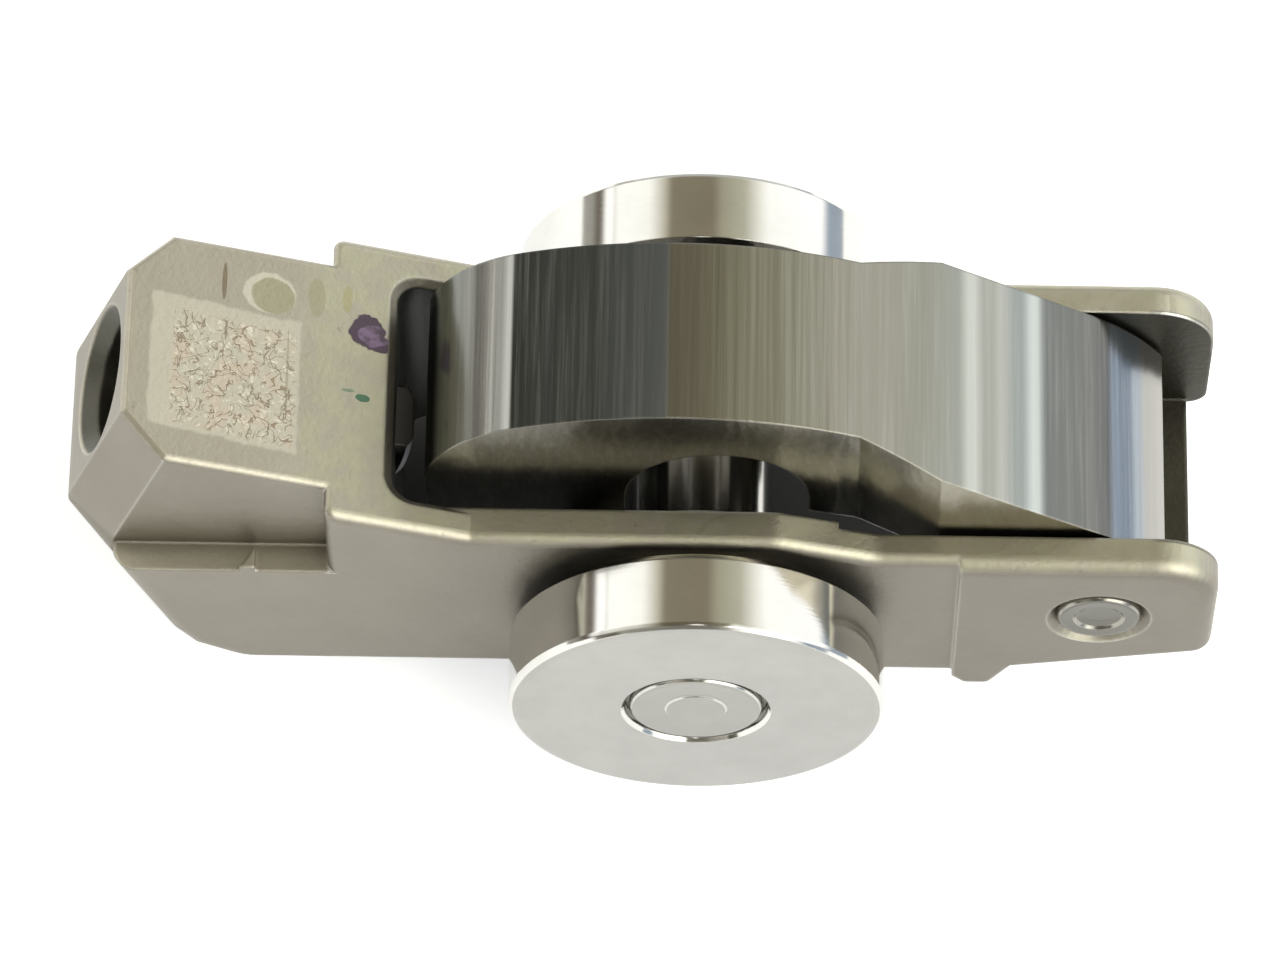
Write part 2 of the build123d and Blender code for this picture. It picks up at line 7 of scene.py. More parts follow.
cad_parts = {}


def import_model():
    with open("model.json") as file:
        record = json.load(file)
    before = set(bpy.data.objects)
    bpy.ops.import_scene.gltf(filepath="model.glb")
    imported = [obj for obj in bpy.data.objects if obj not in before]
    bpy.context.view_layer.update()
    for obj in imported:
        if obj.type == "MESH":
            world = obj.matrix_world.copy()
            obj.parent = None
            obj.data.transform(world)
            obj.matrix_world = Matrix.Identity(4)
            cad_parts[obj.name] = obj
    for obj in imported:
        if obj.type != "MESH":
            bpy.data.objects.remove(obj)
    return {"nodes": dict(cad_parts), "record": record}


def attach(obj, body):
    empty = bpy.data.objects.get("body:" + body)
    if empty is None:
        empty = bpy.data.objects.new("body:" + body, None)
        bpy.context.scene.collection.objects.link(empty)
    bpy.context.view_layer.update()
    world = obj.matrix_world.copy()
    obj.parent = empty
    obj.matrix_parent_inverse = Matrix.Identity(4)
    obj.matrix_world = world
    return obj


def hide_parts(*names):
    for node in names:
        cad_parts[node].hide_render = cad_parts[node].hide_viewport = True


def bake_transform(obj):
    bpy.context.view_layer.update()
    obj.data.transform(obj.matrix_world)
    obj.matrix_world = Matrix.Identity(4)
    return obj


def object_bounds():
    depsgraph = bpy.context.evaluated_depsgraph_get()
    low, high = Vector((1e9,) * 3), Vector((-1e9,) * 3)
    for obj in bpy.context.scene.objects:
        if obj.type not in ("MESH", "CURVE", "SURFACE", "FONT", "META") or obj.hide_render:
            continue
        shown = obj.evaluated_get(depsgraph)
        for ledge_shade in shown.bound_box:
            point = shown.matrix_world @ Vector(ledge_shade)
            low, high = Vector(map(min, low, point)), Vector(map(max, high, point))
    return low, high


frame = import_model()
cad_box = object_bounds()

# ---- places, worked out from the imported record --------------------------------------
# The arm frame has its origin on the roller axle, +X to the valve end and +Z out of the
# top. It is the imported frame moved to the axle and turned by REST_TILT about Y.
# Places and lengths are millimetres of the arm frame where nothing else is said.
MM = 0.001
RECORD = frame["record"]
JOINTS = {joint["name"]: joint for joint in RECORD["behaviour"]["joints"]}
MOUNTS = {mount["name"]: mount for mount in RECORD["mounts"]}
AXLE = Vector(JOINTS["roller_spin"]["pos_m"])
REST_TILT = asin(MOUNTS["ball_socket"]["axis"][0])
ARM_X = Vector((cos(REST_TILT), 0, sin(REST_TILT)))
ARM_Y = Vector((0, 1, 0))
ARM_Z = Vector((-sin(REST_TILT), 0, cos(REST_TILT)))
LATCH_TILT = radians(19.5)

# Points (x, z) of the arm frame.
LATCH_MOUTH = (-30.1, 10.3)
AXLE_LINE = (0.0, 0.0)
HINGE_LINE = (20.3, 1.6)


def arm(x, y, z):
    """Packed-frame point, in metres, of an arm-frame point in millimetres."""
    return AXLE + (ARM_X * x + ARM_Y * y + ARM_Z * z) * MM


def add_object(name, data):
    made = bpy.data.objects.new(name, data)
    bpy.context.scene.collection.objects.link(made)
    return made


# ---- shader graphs -----------------------------------------------------------------
# Sockets of the Mix node by what it mixes: first value, second value, result.
MIX_SOCKETS = {"FLOAT": (2, 3, 0), "VECTOR": (4, 5, 1), "RGBA": (6, 7, 2)}


class Graph:
    """Adds shader nodes and joins them, so that a material reads as a few formulas."""

    def __init__(self, tree):
        self.tree = tree

    def node(self, kind, inputs=None, **settings):
        made = self.tree.nodes.new(kind)
        for name, value in settings.items():
            setattr(made, name, value)
        for name, value in (inputs or {}).items():
            self.put(made.inputs[name], value)
        return made

    def put(self, socket, value):
        if isinstance(value, bpy.types.NodeSocket):
            self.tree.links.new(value, socket)
        else:
            socket.default_value = value

    def math(self, operation, *values):
        made = self.node("ShaderNodeMath", operation=operation)
        for socket, value in zip(made.inputs, values):
            self.put(socket, value)
        return made.outputs[0]

    def times(self, first, *others):
        for other in others:
            first = self.math("MULTIPLY", first, other)
        return first

    def plus(self, first, second):
        return self.math("ADD", first, second)

    def minus(self, first, second):
        return self.math("SUBTRACT", first, second)

    def larger(self, first, second):
        return self.math("MAXIMUM", first, second)

    def size(self, value):
        return self.math("ABSOLUTE", value)

    def inverse(self, mask):
        return self.minus(1.0, mask)

    def squares(self, first, second):
        return self.plus(self.times(first, first), self.times(second, second))

    def vector(self, operation, *values):
        made = self.node("ShaderNodeVectorMath", operation=operation)
        for socket, value in zip(made.inputs, values):
            self.put(socket, value)
        return made.outputs["Value" if operation == "DOT_PRODUCT" else "Vector"]

    def dot(self, first, second):
        return self.vector("DOT_PRODUCT", first, second)

    def join(self, x, y, z):
        return self.node("ShaderNodeCombineXYZ", {"X": x, "Y": y, "Z": z}).outputs[0]

    def noise(self, vector, scale, detail=3.0, roughness=0.55, distortion=0.0):
        inputs = {
            "Vector": vector,
            "Scale": scale,
            "Detail": detail,
            "Roughness": roughness,
            "Distortion": distortion,
        }
        return self.node("ShaderNodeTexNoise", inputs).outputs["Fac"]

    def step(self, value, low, high):
        """0 at low and 1 at high, smooth between them; high may be the lower number."""
        inputs = {"Value": value, "From Min": low, "From Max": high}
        made = self.node("ShaderNodeMapRange", inputs, interpolation_type="SMOOTHSTEP")
        return made.outputs["Result"]

    def between(self, value, low, high, edge):
        """1 between low and high, with soft edges."""
        rise = self.step(value, low - edge, low + edge)
        fall = self.step(value, high + edge, high - edge)
        return self.times(rise, fall)

    def mixed(self, kind, amount, first, second, **settings):
        made = self.node("ShaderNodeMix", data_type=kind, **settings)
        first_at, second_at, result_at = MIX_SOCKETS[kind]
        self.put(made.inputs["Factor"], amount)
        self.put(made.inputs[first_at], first)
        self.put(made.inputs[second_at], second)
        return made.outputs[result_at]

    def mix(self, amount, first, second, blend="MIX"):
        """Colour that goes from first to second."""
        return self.mixed("RGBA", amount, first, second, blend_type=blend)

    def blend(self, amount, first, second):
        """Number that goes from first to second."""
        return self.mixed("FLOAT", amount, first, second)

    def ramp(self, value, stops):
        made = self.node("ShaderNodeValToRGB", {"Fac": value})
        elements = made.color_ramp.elements
        while len(elements) < len(stops):
            elements.new(0.5)
        for element, (place, color) in zip(elements, stops):
            element.position = place
            element.color = color
        return made.outputs["Color"]

    def bump(self, height, distance, strength, normal):
        inputs = {
            "Height": height,
            "Distance": distance,
            "Strength": strength,
            "Normal": normal,
        }
        return self.node("ShaderNodeBump", inputs).outputs["Normal"]


def rgb(red, green, blue):
    return (red, green, blue, 1.0)


def grey(level):
    return rgb(level, level, level)


def arm_parts(graph, vector):
    """Sockets of the vector's parts along the arm frame's x, y and z."""
    return [graph.dot(vector, axis) for axis in (ARM_X, ARM_Y, ARM_Z)]


def arm_place(graph):
    """Sockets x, y, z of the shaded point in the arm frame, in millimetres."""
    place = graph.node("ShaderNodeTexCoord").outputs["Object"]
    offset = graph.vector("SUBTRACT", place, AXLE)
    return [graph.dot(offset, axis / MM) for axis in (ARM_X, ARM_Y, ARM_Z)]


def latch_place(graph, x, z):
    """Distance down the latch bore and height above it, in millimetres."""
    from_mouth = graph.minus(x, LATCH_MOUTH[0])
    above_mouth = graph.minus(z, LATCH_MOUTH[1])
    along = graph.minus(
        graph.times(from_mouth, cos(LATCH_TILT)), graph.times(above_mouth, sin(LATCH_TILT))
    )
    above = graph.plus(
        graph.times(from_mouth, sin(LATCH_TILT)), graph.times(above_mouth, cos(LATCH_TILT))
    )
    return along, above


def smooth_normal(graph):
    """Sockets x, y, z of the smooth shading normal, in the arm frame."""
    return arm_parts(graph, graph.node("ShaderNodeTexCoord").outputs["Normal"])


def face_normal(graph):
    """Sockets x, y, z of the flat face's own normal, in the arm frame."""
    turned = graph.node(
        "ShaderNodeVectorTransform",
        {"Vector": graph.node("ShaderNodeNewGeometry").outputs["True Normal"]},
        vector_type="NORMAL",
        convert_from="WORLD",
        convert_to="OBJECT",
    )
    return arm_parts(graph, turned.outputs[0])


# Radii over which corners are drawn rounded, in metres.
BODY_EDGE = 0.00028
SLIDER_EDGE = 0.00016
SMALL_EDGE = 0.0001
BEVEL_SAMPLES = 6
# Cosines between the rounded normal and the plain one: off a corner, and well on it.
EDGE_COSINES = (0.995, 0.90)
# The same for a flat: still rounded, and so little that the face's own normal serves.
FLAT_COSINES = (0.980, 0.992)


def rounded_normal(graph, radius):
    return graph.node("ShaderNodeBevel", {"Radius": radius}, samples=BEVEL_SAMPLES).outputs[0]


def edge_mask(graph, rounded):
    """1 on the corners of the shape, fading out over the rounded normal's radius."""
    plain = graph.node("ShaderNodeNewGeometry").outputs["Normal"]
    return graph.step(graph.dot(rounded, plain), *EDGE_COSINES)


def flatten(graph, rounded, flat):
    """Rounded normal, put back to the face's own normal in the middle of a flat."""
    own = graph.node("ShaderNodeNewGeometry").outputs["True Normal"]
    amount = graph.times(flat, graph.step(graph.dot(rounded, own), *FLAT_COSINES))
    return graph.mixed("VECTOR", amount, rounded, own)


def material(name):
    made = bpy.data.materials.new(name)
    made.use_nodes = True
    graph = Graph(made.node_tree)
    shader = made.node_tree.nodes["Principled BSDF"]
    shader.inputs["Metallic"].default_value = 1.0
    return made, graph, shader


# ---- body: where its looks change -------------------------------------------------------
# A pair is where a look starts and where it is complete. U is the distance down the latch
# bore from its mouth, and BODY_TOP_HEIGHT is the housing's top above the bore's middle.
BODY_TOP_HEIGHT = 4.65
TOP_START = (BODY_TOP_HEIGHT - 0.12, BODY_TOP_HEIGHT - 0.02)
FLAT_FACE = (0.9985, 0.9998)
UP_FACE = (0.35, 0.8)
SIDE_FACE = (0.5, 0.8)
LEVEL_FACE = (0.955, 0.985)
DIM_SIDES_X = (-16.0, -9.0)
PALE_LEVEL_X = (-8.5, -16.0)
FAR_RAIL_Y = (0.0, 2.0)
LEDGE_X = (-18.5, -18.8)
LEDGE_Z = (5.7, 5.3)
# Where painted shade falls in the ledge's inner corner.
LEDGE_SHADE_Y = (7.5, 6.4)
LEDGE_SHADE_Z = (5.6, 4.95)
WINDOW_HALF = (6.62, 6.48)
WINDOW_START_X = (-15.6, -15.3)
WINDOW_WALL_FACE = (0.55, 0.3)
WINDOW_LOW_Z = (2.4, 1.6)
EAR_GAP_X = (22.5, 23.2)
EAR_RIM_X = (21.0, 22.5)
EAR_RIM_Z = (2.5, 3.5)
VALVE_END_X = (5.0, 15.0)
BORE_R = 3.70
BORE_EDGE = (BORE_R + 0.10, BORE_R - 0.05)
BORE_END_U = (15.0, 14.0)
GREENISH_U = (8.9, 9.5)
# Painted highlight: corners that face this way, towards the light, are painted bright, and the
# others less.
HIGHLIGHT_WAY = 0.15 * ARM_X - 0.65 * ARM_Y + 0.745 * ARM_Z
HIGHLIGHT_COSINES = (0.80, 0.93)
EDGE_BRIGHT_ELSEWHERE = 0.30
EDGE_BRIGHT_AT_LEDGE = 0.12

# ---- body: tones --------------------------------------------------------------------
# Sides darker than tops: partly the finish, partly painted shade.
SIDE_SHADED_TONES = (rgb(0.250, 0.226, 0.190), rgb(0.335, 0.314, 0.272))
TOP_TONES = (rgb(0.45, 0.42, 0.345), rgb(0.56, 0.53, 0.445))
# Paler tones for level faces on the far side and at the latch end.
PALE_LEVEL_TONES = (rgb(0.64, 0.61, 0.52), rgb(0.80, 0.77, 0.67))
GRAIN_TONE = rgb(0.43, 0.40, 0.335)
PIT_TONE = rgb(0.22, 0.20, 0.17)
# Painted highlight on corners, partly wear.
EDGE_HIGHLIGHT_TONE = rgb(0.93, 0.92, 0.87)
# Painted shade in the ledge's inner corners.
LEDGE_SHADE_TONE = rgb(0.13, 0.115, 0.08)
# Painted shade inside the window, the ear gap and the latch bore.
INSIDE_SHADE_TONES = (rgb(0.15, 0.155, 0.145), rgb(0.045, 0.043, 0.033))
BORE_SHADE_TONE = rgb(0.075, 0.075, 0.062)
GREENISH_TONE = rgb(0.50, 0.51, 0.34)
PURPLE_TONES = (rgb(0.070, 0.042, 0.070), rgb(0.20, 0.135, 0.235))
# Painted shade: multipliers that darken the sides and the sloped top.
SIDE_SHADE = 0.82
SIDE_SHADE_ALONG_RAILS = 0.69
SIDE_SHADE_OF_ENDS = 0.96
SLOPE_SHADE = 0.86


class BodyPoint:
    """Sockets that say where on the body the shaded point is and how its face lies."""

    def __init__(self, graph):
        self.x, self.y, self.z = arm_place(graph)
        self.off_middle = graph.size(self.y)
        self.along, self.above = latch_place(graph, self.x, self.z)
        face_x, face_y, self.face_z = face_normal(graph)
        self.sideways = graph.size(face_y)
        out_of_latch = graph.plus(
            graph.times(face_x, sin(LATCH_TILT)), graph.times(self.face_z, cos(LATCH_TILT))
        )
        self.sloped = graph.step(out_of_latch, *FLAT_FACE)
        level = graph.larger(graph.step(self.face_z, *FLAT_FACE), self.sloped)
        self.flat = graph.larger(level, graph.step(self.sideways, *FLAT_FACE))
        self.up = graph.step(self.face_z, *UP_FACE)
        self.ledge = graph.times(graph.step(self.x, *LEDGE_X), graph.step(self.z, *LEDGE_Z))
        self.place = graph.join(self.x, self.y, self.z)
        self.cloud = graph.noise(self.place, scale=0.22, detail=4, roughness=0.6)
        self.grain = graph.noise(self.place, scale=3.2, detail=4, roughness=0.65)


def bare_steel(graph, here):
    """Tone of the cast and machined steel, with painted shade on the sides and the sloped top,
    before wear and marks.
    """
    # Sides painted darker as painted shade, most along the rails.
    side = graph.mix(here.cloud, *SIDE_SHADED_TONES)
    shade = graph.blend(graph.step(here.x, *DIM_SIDES_X), SIDE_SHADE, SIDE_SHADE_ALONG_RAILS)
    shade = graph.blend(graph.step(here.sideways, *SIDE_FACE), SIDE_SHADE_OF_ENDS, shade)
    side = graph.mix(1.0, side, graph.join(shade, shade, shade), "MULTIPLY")
    top = graph.mix(here.cloud, *TOP_TONES)
    top = graph.mix(here.sloped, top, grey(SLOPE_SHADE), "MULTIPLY")
    color = graph.mix(here.up, side, top)
    # Level faces on the far side and at the latch end are made paler.
    far = graph.times(graph.step(here.y, *FAR_RAIL_Y), 0.9)
    pale_level = graph.larger(graph.step(here.x, *PALE_LEVEL_X), far)
    pale_level = graph.times(pale_level, graph.step(here.face_z, *LEVEL_FACE))
    color = graph.mix(pale_level, color, graph.mix(here.cloud, *PALE_LEVEL_TONES))
    color = graph.mix(graph.times(here.grain, 0.25), color, GRAIN_TONE)
    pits = graph.step(graph.noise(here.place, scale=1.7, detail=5, roughness=0.7), 0.36, 0.30)
    return graph.mix(graph.times(pits, 0.4), color, PIT_TONE)


def highlit_and_worn_edges(graph, here, edge, rounded, color):
    """Corners painted bright as painted highlight, most where they face the light, with some
    wear, and painted shade in the ledge's inner corners.
    """
    highlit_and_worn = graph.step(graph.dot(rounded, HIGHLIGHT_WAY), *HIGHLIGHT_COSINES)
    highlit_and_worn = graph.blend(highlit_and_worn, EDGE_BRIGHT_ELSEWHERE, 1.0)
    highlit_and_worn = graph.times(highlit_and_worn, graph.blend(here.ledge, 1.0, EDGE_BRIGHT_AT_LEDGE))
    highlit_and_worn = graph.times(edge, highlit_and_worn)
    # Painted highlight on the corners, in the base colour.
    color = graph.mix(graph.times(highlit_and_worn, 0.9), color, EDGE_HIGHLIGHT_TONE)
    # Painted shade in the ledge's inner corner.
    ledge_shade = graph.times(
        here.ledge,
        graph.step(here.off_middle, *LEDGE_SHADE_Y),
        graph.step(here.z, *LEDGE_SHADE_Z),
    )
    return graph.mix(graph.times(ledge_shade, 0.45), color, LEDGE_SHADE_TONE), highlit_and_worn


def painted_shade_inside(graph, here, edge, color):
    """Painted shade on the unlit inside of the window, the ear gap and the bore of the latch."""
    inside = graph.times(
        graph.step(here.off_middle, *WINDOW_HALF), graph.step(here.x, *WINDOW_START_X)
    )
    walls = graph.larger(
        graph.step(here.face_z, *WINDOW_WALL_FACE), graph.step(here.z, *WINDOW_LOW_Z)
    )
    inside = graph.times(inside, graph.larger(walls, graph.step(here.x, *EAR_GAP_X)))
    rim = graph.times(edge, graph.step(here.x, *EAR_RIM_X), graph.step(here.z, *EAR_RIM_Z))
    inside = graph.times(inside, graph.inverse(rim))
    # Painted shade, darker towards the valve end.
    inside_shade = graph.mix(graph.step(here.x, *VALVE_END_X), *INSIDE_SHADE_TONES)
    color = graph.mix(graph.times(inside, 0.88), color, inside_shade)
    from_bore = graph.math("SQRT", graph.squares(here.above, here.y))
    bored = graph.times(graph.step(from_bore, *BORE_EDGE), graph.step(here.along, *BORE_END_U))
    return graph.mix(graph.times(bored, 0.9), color, BORE_SHADE_TONE)


# ---- body: marks on the latch housing's top ----------------------------------------------
ETCH_U = (1.30, 9.05)
ETCH_Y = (-4.30, 3.10)
ETCH_INNER_U = (ETCH_U[0] + 1.15, ETCH_U[1] - 0.25)
ETCH_INNER_Y = (ETCH_Y[0] + 0.35, ETCH_Y[1] - 0.75)
ETCH_LEAN = 0.055
ETCH_GROUND = rgb(0.74, 0.71, 0.60)
ETCH_BLUSH = rgb(0.66, 0.52, 0.42)
ETCH_FLECK = rgb(0.84, 0.81, 0.70)
ETCH_LINE = rgb(0.27, 0.205, 0.13)
ETCH_LINE_WIDTH = 0.022
# Takes the coarse lines' noise away from that of the fine ones.
ETCH_SHIFT = (7.0, 3.0, 0.0)

# Ragged ovals: middle (u, y), half sizes (u, y), raggedness, strength and tone.
OVALS = [
    ((7.36, 3.98), (1.32, 1.18), 0.9, 0.45, rgb(0.84, 0.82, 0.70)),  # ring of the punch mark
    ((7.52, 3.85), (1.12, 1.02), 0.7, 0.80, rgb(0.34, 0.33, 0.215)),  # punch mark
    ((9.78, 4.15), (0.46, 1.08), 1.2, 0.60, rgb(0.36, 0.35, 0.235)),  # smears
    ((11.40, 4.40), (0.25, 0.78), 0.8, 0.60, rgb(0.42, 0.39, 0.21)),
    ((4.97, 4.20), (0.13, 1.05), 0.3, 0.75, rgb(0.20, 0.155, 0.10)),
    ((8.40, -0.30), (0.06, 2.50), 0.3, 0.45, rgb(0.30, 0.26, 0.17)),
    ((12.30, -0.98), (0.40, 0.20), 3.4, 0.85, rgb(0.045, 0.16, 0.095)),  # green specks
    ((11.62, -0.70), (0.34, 0.11), 3.4, 0.60, rgb(0.11, 0.23, 0.14)),
]
# Purple dab of paint: middle, half sizes and raggedness of its two lobes and its heart.
PAINT_LOBES = [((12.48, 2.80), (0.88, 1.02), 2.4), ((13.20, 2.15), (0.62, 0.48), 1.6)]
PAINT_HEART = ((12.85, 2.55), (0.72, 0.62), 2.5)
OVAL_EDGE = (1.12, 0.88)


def oval(graph, here, ragged, middle, half, raggedness):
    """Ragged oval mark: 1 inside, 0 outside."""
    u_part = graph.math("DIVIDE", graph.minus(here.along, middle[0]), half[0])
    y_part = graph.math("DIVIDE", graph.minus(here.y, middle[1]), half[1])
    out = graph.plus(graph.squares(u_part, y_part), graph.times(ragged, raggedness))
    return graph.step(out, *OVAL_EDGE)


def squiggles(graph, flat, scale):
    """Thin curling lines, where a noise passes through its middle."""
    wave = graph.noise(flat, scale, detail=1.5, roughness=0.5, distortion=0.9)
    off = graph.size(graph.minus(wave, 0.5))
    return graph.step(off, ETCH_LINE_WIDTH, ETCH_LINE_WIDTH * 0.35)


def etching(graph, here, flat, ragged, on_top, color):
    """Etched patch: pale frame and a field of fine curling lines, with no lettering."""
    leaned = graph.plus(here.y, graph.times(here.along, ETCH_LEAN))
    u = graph.plus(here.along, graph.times(ragged, 0.4))
    y = graph.plus(leaned, graph.times(ragged, 0.5))
    whole = graph.times(
        graph.between(u, *ETCH_U, 0.10), graph.between(y, *ETCH_Y, 0.12), on_top
    )
    inner = graph.times(
        graph.between(u, *ETCH_INNER_U, 0.15), graph.between(y, *ETCH_INNER_Y, 0.2), on_top
    )
    color = graph.mix(graph.times(whole, 0.48), color, ETCH_GROUND)
    blush = graph.step(graph.noise(flat, scale=0.55, detail=2), 0.45, 0.65)
    color = graph.mix(graph.times(blush, inner, 0.45), color, ETCH_BLUSH)
    fleck = graph.noise(flat, scale=2.4, detail=2, roughness=0.6, distortion=0.5)
    fleck = graph.step(fleck, 0.56, 0.66)
    color = graph.mix(graph.times(fleck, inner, 0.6), color, ETCH_FLECK)
    fine = squiggles(graph, flat, 1.5)
    coarse = squiggles(graph, graph.vector("ADD", flat, ETCH_SHIFT), 1.0)
    broken = graph.step(graph.noise(flat, scale=1.1, detail=2), 0.34, 0.52)
    lines = graph.times(graph.larger(fine, coarse), broken, inner)
    return graph.mix(graph.times(lines, 0.75), color, ETCH_LINE), whole, lines


def marks_on_top(graph, here, color):
    """Etched patch, punch mark, smears and paint dab on the latch housing's top."""
    on_top = graph.times(graph.step(here.above, *TOP_START), here.up)
    flat = graph.join(here.along, here.y, 0.0)
    ragged = graph.minus(graph.noise(flat, scale=0.9), 0.5)

    tint = graph.step(graph.noise(flat, scale=0.8), 0.30, 0.65)
    tint = graph.times(graph.step(here.along, *GREENISH_U), on_top, tint, 0.40)
    color = graph.mix(tint, color, GREENISH_TONE)
    color, patch, etched = etching(graph, here, flat, ragged, on_top, color)
    for middle, half, raggedness, strength, tone in OVALS:
        mark = oval(graph, here, ragged, middle, half, raggedness)
        color = graph.mix(graph.times(mark, on_top, strength), color, tone)

    lobes = [oval(graph, here, ragged, *lobe) for lobe in PAINT_LOBES]
    paint = graph.times(graph.larger(*lobes), on_top)
    mottle = graph.step(graph.noise(flat, scale=1.6), 0.35, 0.65)
    heart = graph.times(oval(graph, here, ragged, *PAINT_HEART), mottle)
    color = graph.mix(paint, color, graph.mix(heart, *PURPLE_TONES))
    return color, paint, patch, etched


BODY_ROUGHNESS = (0.36, 0.52)
EDGE_ROUGHNESS = 0.12
ETCHED_ROUGHNESS = 0.50
PAINT_ROUGHNESS = 0.42
BODY_BUMP_METRES = 0.00004


def body_material():
    made, graph, shader = material("body_steel")
    here = BodyPoint(graph)
    rounded = rounded_normal(graph, BODY_EDGE)
    edge = edge_mask(graph, rounded)
    color = bare_steel(graph, here)
    color, highlit_and_worn = highlit_and_worn_edges(graph, here, edge, rounded, color)
    color, paint, patch, etched = marks_on_top(graph, here, color)
    color = painted_shade_inside(graph, here, edge, color)
    graph.put(shader.inputs["Base Color"], color)

    rough = graph.blend(here.grain, *BODY_ROUGHNESS)
    rough = graph.blend(graph.times(highlit_and_worn, 0.95), rough, EDGE_ROUGHNESS)
    rough = graph.blend(patch, rough, ETCHED_ROUGHNESS)
    graph.put(shader.inputs["Roughness"], graph.blend(paint, rough, PAINT_ROUGHNESS))
    graph.put(shader.inputs["Metallic"], graph.blend(paint, 1.0, 0.0))
    height = graph.plus(here.grain, graph.times(here.cloud, 1.5))
    height = graph.minus(height, graph.times(etched, 1.2))
    smooth = flatten(graph, rounded, here.flat)
    graph.put(shader.inputs["Normal"], graph.bump(height, BODY_BUMP_METRES, 0.6, smooth))
    return made


# ---- ground and turned surfaces -------------------------------------------------------
# Tone of the slider's top by the distance along the arm: a dark coated pad, and bands of painted
# reflection and painted shade elsewhere.
SLIDER_TOP_COAT_AND_REFLECTIONS = [
    (-13.7, (0.07, 0.085, 0.085)),
    (-12.4, (0.15, 0.155, 0.14)),
    (-11.0, (0.24, 0.235, 0.215)),
    (-10.55, (0.42, 0.415, 0.385)),
    (-10.0, (0.19, 0.188, 0.17)),
    (-9.6, (0.37, 0.37, 0.35)),
    (-9.45, (0.36, 0.36, 0.34)),
    (-9.35, (0.032, 0.032, 0.028)),
    (-5.5, (0.062, 0.067, 0.062)),
    (-1.75, (0.165, 0.180, 0.195)),
    (-1.55, (0.31, 0.30, 0.265)),
    (2.0, (0.37, 0.365, 0.32)),
    (6.5, (0.26, 0.25, 0.21)),
    (11.0, (0.225, 0.225, 0.185)),
    (12.9, (0.255, 0.265, 0.235)),
    (13.3, (0.42, 0.43, 0.385)),
    (13.65, (0.45, 0.46, 0.42)),
    (14.1, (0.285, 0.29, 0.255)),
    (14.65, (0.29, 0.295, 0.26)),
    (15.0, (0.365, 0.37, 0.335)),
    (15.75, (0.245, 0.265, 0.245)),
    (16.2, (0.26, 0.285, 0.27)),
    (16.6, (0.46, 0.49, 0.465)),
    (16.9, (0.46, 0.49, 0.465)),
    (17.3, (0.145, 0.152, 0.143)),
    (20.6, (0.150, 0.150, 0.140)),
    (20.9, (0.33, 0.37, 0.42)),
    (22.3, (0.33, 0.36, 0.40)),
    (22.6, (0.36, 0.35, 0.33)),
]
# The ramp's 0 lies this far left of the axle, and its 1 this much farther right.
SLIDER_RAMP_LEFT = 14.0
SLIDER_RAMP_LENGTH = 40.0
COATED_X = (-9.4, -1.6)
SLIDER_TOP_FACE = (0.25, 0.45)
# Painted shade on the slider's sides, lighter by the hinge.
SLIDER_SIDE_SHADE_TONES = (rgb(0.12, 0.115, 0.10), rgb(0.19, 0.18, 0.155))
SLIDER_SIDE_LESS_SHADE = rgb(0.28, 0.26, 0.205)
SLIDER_SIDE_LESS_SHADE_X = (6.5, 13.0)
STREAK_TONE = rgb(0.6, 0.6, 0.58)
SLIDER_EDGE_TONE = rgb(0.42, 0.41, 0.37)
SLIDER_ROUGHNESS = (0.18, 0.28)
COATED_ROUGHNESS = 0.42
SLIDER_BUMP_METRES = 0.00003


def slider_material():
    """Ground slider: dark coated pad with bands of painted reflection along its top, sides
    painted dark as painted shade that lightens towards the hinge, ground across.
    """
    made, graph, shader = material("ground_steel")
    x, y, z = arm_place(graph)
    on_top = graph.step(smooth_normal(graph)[2], *SLIDER_TOP_FACE)
    across = graph.join(x, graph.times(y, 0.02), graph.times(z, 0.3))
    bands = graph.noise(across, scale=0.55, detail=3, roughness=0.6)
    lines = graph.noise(across, scale=4.0, detail=4, roughness=0.7)
    coated = graph.times(graph.between(x, *COATED_X, 0.10), on_top)
    # Sides darkened as painted shade, less so by the hinge.
    side = graph.mix(graph.noise(graph.join(x, y, z), scale=0.3), *SLIDER_SIDE_SHADE_TONES)
    side = graph.mix(graph.step(x, *SLIDER_SIDE_LESS_SHADE_X), side, SLIDER_SIDE_LESS_SHADE)
    # Painted reflections and painted shade along the top, round the dark coated pad.
    place = graph.math("DIVIDE", graph.plus(x, SLIDER_RAMP_LEFT), SLIDER_RAMP_LENGTH)
    stops = [
        ((at + SLIDER_RAMP_LEFT) / SLIDER_RAMP_LENGTH, rgb(*tone)) for at, tone in SLIDER_TOP_COAT_AND_REFLECTIONS
    ]
    color = graph.mix(on_top, side, graph.ramp(place, stops))
    streaks = graph.times(graph.step(lines, 0.4, 0.8), 0.15)
    color = graph.mix(streaks, color, STREAK_TONE)
    rounded = rounded_normal(graph, SLIDER_EDGE)
    edge = edge_mask(graph, rounded)
    color = graph.mix(graph.times(edge, 0.25), color, SLIDER_EDGE_TONE)
    graph.put(shader.inputs["Base Color"], color)
    rough = graph.blend(lines, *SLIDER_ROUGHNESS)
    graph.put(shader.inputs["Roughness"], graph.blend(coated, rough, COATED_ROUGHNESS))
    height = graph.plus(graph.times(bands, 3.0), graph.times(lines, 0.25))
    graph.put(shader.inputs["Normal"], graph.bump(height, SLIDER_BUMP_METRES, 0.8, rounded))
    return made


TURNED_FACE = (0.75, 0.9)
TURNED_BUMP_METRES = 0.000004


